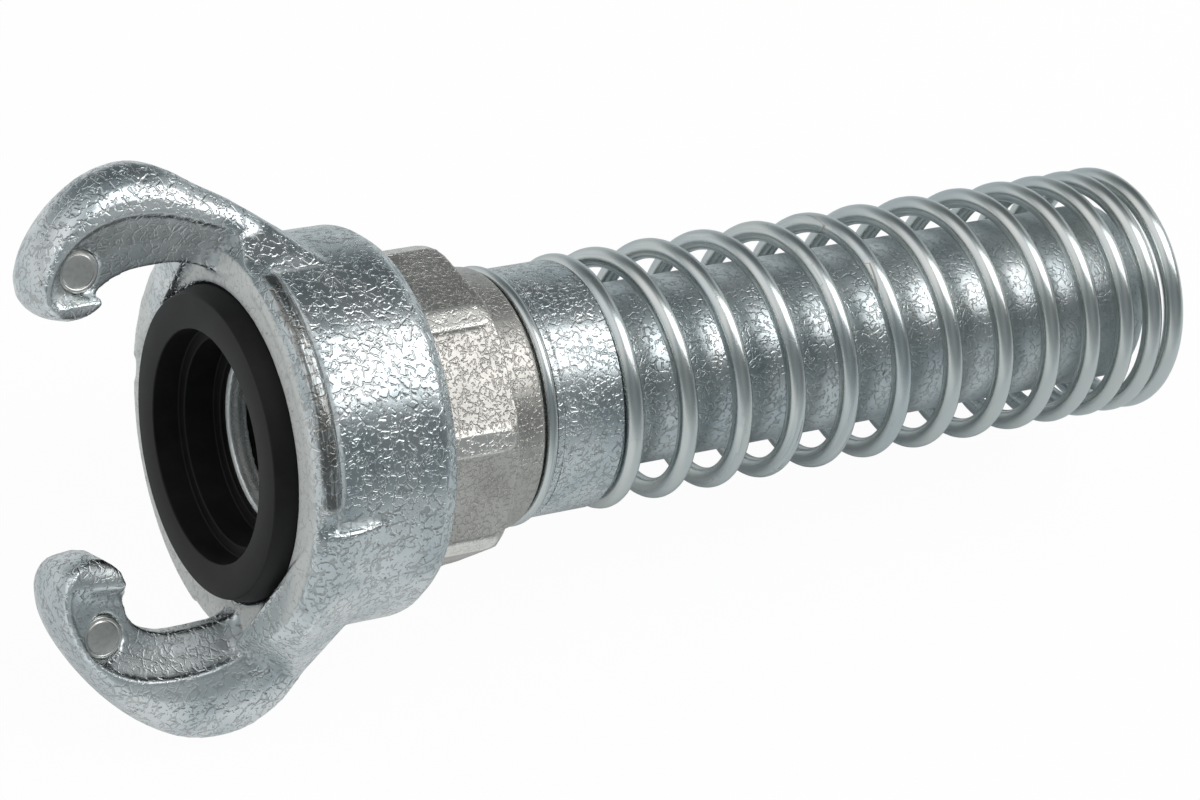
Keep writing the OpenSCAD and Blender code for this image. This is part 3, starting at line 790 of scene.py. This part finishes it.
def spring_travel(sizes):
    """How far the wire has gone along X after a number of turns, and its turns in all."""
    flat, ease = sizes.flat_turns, sizes.ease_turns
    open_end = flat + ease/2 + sizes.open_turns
    fall = sizes.pitch - sizes.shut_pitch

    def opening(turn):
        if turn < flat:
            return 0
        if turn < flat + ease:
            return sizes.pitch*(turn - flat)**2/(2*ease)
        return sizes.pitch*(turn - flat - ease/2)

    def travel(turn):
        if turn <= open_end:
            return opening(turn)
        more = turn - open_end
        if more < sizes.close_turns:
            return opening(open_end) + sizes.pitch*more - fall*more**2/(2*sizes.close_turns)
        closed = (sizes.pitch + sizes.shut_pitch)/2*sizes.close_turns
        return opening(open_end) + closed + sizes.shut_pitch*(more - sizes.close_turns)

    return travel, open_end + sizes.close_turns + sizes.shut_turns


class COUPLING_OT_head(bpy.types.Operator):
    """Casts the head with its claws, cam segments, buttresses and fins"""
    bl_idname = "coupling.head"
    bl_label = "Cast head"

    def execute(self, context):
        sizes = context.scene.coupling_sizes
        piece = casting("claw_head", "cast_head", sizes.head_voxel, sizes.cast_lump, 1)
        finished(piece, "cast_zinc", HEAD_BODY, "claw_head")
        return {"FINISHED"}


class COUPLING_OT_nut(bpy.types.Operator):
    """Casts the eight-sided union nut"""
    bl_idname = "coupling.nut"
    bl_label = "Union nut"

    def execute(self, context):
        sizes = context.scene.coupling_sizes
        piece = casting("union_nut", "gland_nut", sizes.nut_voxel, sizes.cast_lump*0.4, 1)
        finished(piece, "nut_metal", HEAD_BODY, "union_nut")
        return {"FINISHED"}


class COUPLING_OT_seal(bpy.types.Operator):
    """Moulds the face seal with its ledge and its rear lip"""
    bl_idname = "coupling.seal"
    bl_label = "Face seal"

    def execute(self, context):
        sizes = context.scene.coupling_sizes
        front, back, outer = along("seal_ring")
        ledge, lip = front + sizes.seal_ledge, back - sizes.seal_lip_wall
        piece = turned("face_seal", [
            (front, sizes.seal_lip), (front, sizes.seal_face), (front + sizes.seal_proud, outer),
            (back, outer), (back, sizes.seal_rear), (lip, sizes.seal_rear), (lip, sizes.seal_bore),
            (ledge, sizes.seal_bore), (ledge, sizes.seal_lip),
        ])
        rounded(piece, sizes.edge_round*1.3)
        finished(piece, "seal_rubber", HEAD_BODY, "seal_ring")
        return {"FINISHED"}


class COUPLING_OT_pins(bpy.types.Operator):
    """Rivets the two claw pins, each with a low dome and a groove round it at both ends"""
    bl_idname = "coupling.pins"
    bl_label = "Claw pins"

    def execute(self, context):
        sizes = context.scene.coupling_sizes
        end, r = sizes.pin_half, sizes.pin_radius
        dome, groove = sizes.pin_dome, sizes.pin_groove
        half = [
            (end + dome, 0.3), (end + dome*0.7, r*0.45), (end, r - 0.7), (end - groove, r - 0.55),
            (end - 0.04, r - 0.42), (end - 0.1, r - 0.18), (end - 0.35, r),
        ]
        profile = half + [(-x, radius) for x, radius in reversed(half)]
        across = Matrix.Rotation(claw_roll(), 4, "X") @ Matrix.Rotation(-math.pi/2, 4, "Y")
        for node in ("upper_claw_pin", "lower_claw_pin"):
            piece = turned(node + "_riveted", profile, 64, solid=True)
            rounded(piece, 0.04, degrees=12)
            piece.matrix_world = Matrix.Translation(middle(node)) @ across
            choose(piece)
            bpy.ops.object.transform_apply(location=True, rotation=True, scale=True)
            finished(piece, "pin_steel", HEAD_BODY, node)
        return {"FINISHED"}


class COUPLING_OT_tail(bpy.types.Operator):
    """Turns the hose tail: flange, neck with its groove, and tube"""
    bl_idname = "coupling.tail"
    bl_label = "Hose tail"

    def execute(self, context):
        sizes = context.scene.coupling_sizes
        front, back, flange = along("hose_tail")
        flange_back = front + sizes.flange_wall
        groove_front, groove_back, _ = along("neck_o_ring")
        shoulder_end = along("spring_ferrule")[1]
        piece = turned("turned_tail", [
            (front, sizes.tube_bore), (front, flange), (flange_back, flange), (flange_back, sizes.neck),
            (groove_front, sizes.neck), (groove_front, sizes.groove_floor),
            (groove_back, sizes.groove_floor), (groove_back, sizes.neck), (shoulder_end, sizes.neck),
            (shoulder_end, sizes.tube), (back, sizes.tube), (back, sizes.tube_bore),
        ])
        rounded(piece, sizes.edge_round)
        finished(piece, "tube_zinc", TAIL_BODY, "hose_tail")
        return {"FINISHED"}


class COUPLING_OT_ferrule(bpy.types.Operator):
    """Turns the ferrule with its bead and shoulder, and bends the retaining ring"""
    bl_idname = "coupling.ferrule"
    bl_label = "Ferrule and ring"

    def execute(self, context):
        sizes = context.scene.coupling_sizes
        r = sizes.ferrule
        nose, back, _ = along("spring_ferrule")
        end = back - sizes.shoulder_length
        front = end - sizes.ferrule_length
        groove = front + sizes.bead
        piece = turned("turned_ferrule", [
            (nose, sizes.neck), (nose, sizes.ring_seat), (front, sizes.ring_seat), (front, r + 0.1),
            (groove - 0.15, r + 0.1), (groove - 0.1, r - 0.25), (groove + 0.1, r - 0.25),
            (groove + 0.15, r), (end, r), (end, sizes.shoulder), (back, sizes.shoulder),
            (back, sizes.neck),
        ])
        rounded(piece, sizes.edge_round)
        finished(piece, "tube_zinc", TAIL_BODY, "spring_ferrule")
        ring_front, ring_back, outer = along("retaining_ring")
        wire = (ring_back - ring_front)/2
        deselect()
        bpy.ops.mesh.primitive_torus_add(
            location=((ring_front + wire)*MM, 0, 0), rotation=(0, math.pi/2, 0),
            major_segments=ROUND, minor_segments=24,
            major_radius=(outer - wire)*MM, minor_radius=wire*MM)
        ring = context.object
        ring.name = "bent_ring"
        bpy.ops.object.transform_apply(location=True, rotation=True, scale=True)
        bpy.ops.object.shade_smooth()
        write_wire(ring, -math.pi/2, lambda turn: ring_front + wire, 1, 2*(outer - wire))
        finished(ring, "spring_wire", TAIL_BODY, "retaining_ring")
        return {"FINISHED"}


class COUPLING_OT_spring(bpy.types.Operator):
    """Winds the guard spring from one wire"""
    bl_idname = "coupling.spring"
    bl_label = "Guard spring"

    def execute(self, context):
        sizes = context.scene.coupling_sizes
        first_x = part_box("guard_spring")[0].x/MM + sizes.wire/2
        travel, turns = spring_travel(sizes)
        count = round(turns*WIRE_STEPS_PER_TURN)
        roll = claw_roll()
        path = bpy.data.curves.new("spring_path", "CURVE")
        path.dimensions = "3D"
        path.bevel_depth = sizes.wire/2*MM
        path.bevel_resolution = WIRE_ROUNDNESS
        path.use_fill_caps = True
        line = path.splines.new("POLY")
        line.points.add(count)
        for number, point in enumerate(line.points):
            t = turns*number/count
            angle = sizes.start_angle + roll + math.tau*t
            point.co = (
                (first_x + travel(t))*MM,
                sizes.coil/2*math.cos(angle)*MM,
                sizes.coil/2*math.sin(angle)*MM,
                1.0,
            )
        piece = bpy.data.objects.new("wound_spring", path)
        context.scene.collection.objects.link(piece)
        choose(piece)
        bpy.ops.object.convert(target="MESH")
        piece = bpy.context.object
        bpy.ops.object.mode_set(mode="EDIT")
        bpy.ops.mesh.select_all(action="SELECT")
        bpy.ops.mesh.remove_doubles(threshold=0.001*MM)
        bpy.ops.mesh.normals_make_consistent(inside=False)
        bpy.ops.object.mode_set(mode="OBJECT")
        smooth(piece, 50)
        write_wire(piece, sizes.start_angle + roll, travel, math.ceil(turns) + 1, sizes.coil)
        finished(piece, "spring_wire", TAIL_BODY, "guard_spring")
        return {"FINISHED"}


class COUPLING_OT_solids(bpy.types.Operator):
    """Gives the solids their finishes, of which the hidden rings keep their shape"""
    bl_idname = "coupling.solids"
    bl_label = "Plain pieces"

    def execute(self, context):
        slots = {s["node"]: s["material_slot"] for s in frame["record"]["subparts"]}
        for node, piece in frame["nodes"].items():
            piece.data.materials.clear()
            piece.data.materials.append(finishes()[slots[node]])
        return {"FINISHED"}


class COUPLING_OT_stage(bpy.types.Operator):
    """Sets the camera, the floor, the surroundings and the lamp"""
    bl_idname = "coupling.stage"
    bl_label = "Stage"

    def execute(self, context):
        stage = context.scene.coupling_stage
        scene = context.scene
        scene.view_settings.view_transform = "Standard"
        self.set_camera(scene, stage)
        self.set_floor(stage)
        self.set_world(scene, stage)
        self.set_lamp(scene, stage)
        return {"FINISHED"}

    def set_camera(self, scene, stage):
        camera = bpy.data.objects.new("camera", bpy.data.cameras.new("camera"))
        scene.collection.objects.link(camera)
        camera.location = stage.camera_place
        camera.rotation_euler = stage.camera_turn
        camera.data.sensor_width = 36
        camera.data.lens = stage.lens
        camera.data.clip_start = 0.01
        camera.data.clip_end = 20
        scene.camera = camera

    def set_floor(self, stage):
        low = Vector(cad_box[0])
        deselect()
        bpy.ops.mesh.primitive_grid_add(
            x_subdivisions=2, y_subdivisions=2, size=6, location=(MIDDLE_X, 0, low.z))
        floor = bpy.context.object
        floor.name = "pale_floor"
        material, tree = new_material("pale_floor")
        seen, mirrored, through = tree.outputs(
            "ShaderNodeLightPath", ("Is Camera Ray", "Is Glossy Ray", "Is Transmission Ray"))
        shown = tree.blend(seen, list(stage.floor_bounce), list(stage.floor_colour))
        diffuse = tree.node("ShaderNodeBsdfDiffuse", None, {"Color": shown})
        glow = tree.node("ShaderNodeEmission", None, {"Color": (1, 1, 1, 1), "Strength": 1.0})
        x, _, _ = tree.split(tree.place())
        by_tail = tree.step(x, HEAD_GLOW_END, TAIL_GLOW_START)
        metal = GLOW_BY_HEAD - by_tail*(GLOW_BY_HEAD - GLOW_BY_TAIL)
        share = seen*GLOW_SEEN + mirrored*metal + through*GLOW_THROUGH
        mixed = tree.node("ShaderNodeMixShader", None, {0: share, 1: diffuse, 2: glow})
        tree.node("ShaderNodeOutputMaterial", None, {"Surface": mixed})
        floor.data.materials.append(material)

    def set_world(self, scene, stage):
        world = bpy.data.worlds.new("surroundings")
        scene.world = world
        world.use_nodes = True
        tree = Tree(world.node_tree)
        ways = tree.node("ShaderNodeTexCoord", output="Generated")
        _, _, up = tree.split(ways)
        stops = [(place, (grey, grey, grey, 1)) for place, grey in SKY]
        level = tree.node("ShaderNodeValToRGB", {"stops": stops}, {0: up})
        for centre, edge, core, strength in PANELS:
            ends, full = math.cos(math.radians(edge)), math.cos(math.radians(core))
            level = level + tree.step(tree.dot(ways, centre), ends, full)*strength
        tint = tree.blend(tree.step(level, 0.3, 0.9), list(stage.world_tint), (1, 1, 1))
        shade = tree.node(
            "ShaderNodeBackground", None, {"Color": tint, "Strength": level*stage.world_level})
        tree.node("ShaderNodeOutputWorld", None, {"Surface": shade})

    def set_lamp(self, scene, stage):
        lamp = bpy.data.lights.new("overhead_softbox", "AREA")
        lamp.shape = "RECTANGLE"
        lamp.size, lamp.size_y = stage.key_size
        lamp.energy = stage.key_power
        holder = bpy.data.objects.new("overhead_softbox", lamp)
        scene.collection.objects.link(holder)
        way = Vector(stage.key_way).normalized()
        holder.location = Vector((MIDDLE_X, 0, 0)) + way*stage.key_distance
        holder.rotation_euler = way.to_track_quat("Z", "X").to_euler()


class COUPLING_PT_panel(bpy.types.Panel):
    bl_label = "Claw hose coupling"
    bl_space_type = "VIEW_3D"
    bl_region_type = "UI"
    bl_category = "Coupling"

    def draw(self, context):
        for step in STEPS:
            self.layout.operator(step.bl_idname)


STEPS = (
    COUPLING_OT_solids,
    COUPLING_OT_head,
    COUPLING_OT_seal,
    COUPLING_OT_pins,
    COUPLING_OT_nut,
    COUPLING_OT_tail,
    COUPLING_OT_ferrule,
    COUPLING_OT_spring,
    COUPLING_OT_stage,
)
GROUPS = {
    "coupling_sizes": CouplingSizes,
    "coupling_colours": FinishColours,
    "coupling_stage": StageSettings,
}


def register():
    for group in GROUPS.values():
        bpy.utils.register_class(group)
    for name, group in GROUPS.items():
        setattr(bpy.types.Scene, name, bpy.props.PointerProperty(type=group))
    for step in STEPS:
        bpy.utils.register_class(step)
    bpy.utils.register_class(COUPLING_PT_panel)


def unregister():
    bpy.utils.unregister_class(COUPLING_PT_panel)
    for step in reversed(STEPS):
        bpy.utils.unregister_class(step)
    for name, group in reversed(GROUPS.items()):
        delattr(bpy.types.Scene, name)
        bpy.utils.unregister_class(group)


def main():
    register()
    bpy.ops.coupling.solids()
    bpy.ops.coupling.head()
    bpy.ops.coupling.seal()
    bpy.ops.coupling.pins()
    bpy.ops.coupling.nut()
    bpy.ops.coupling.tail()
    bpy.ops.coupling.ferrule()
    bpy.ops.coupling.spring()
    bpy.ops.coupling.stage()


if __name__ == "__main__":
    main()
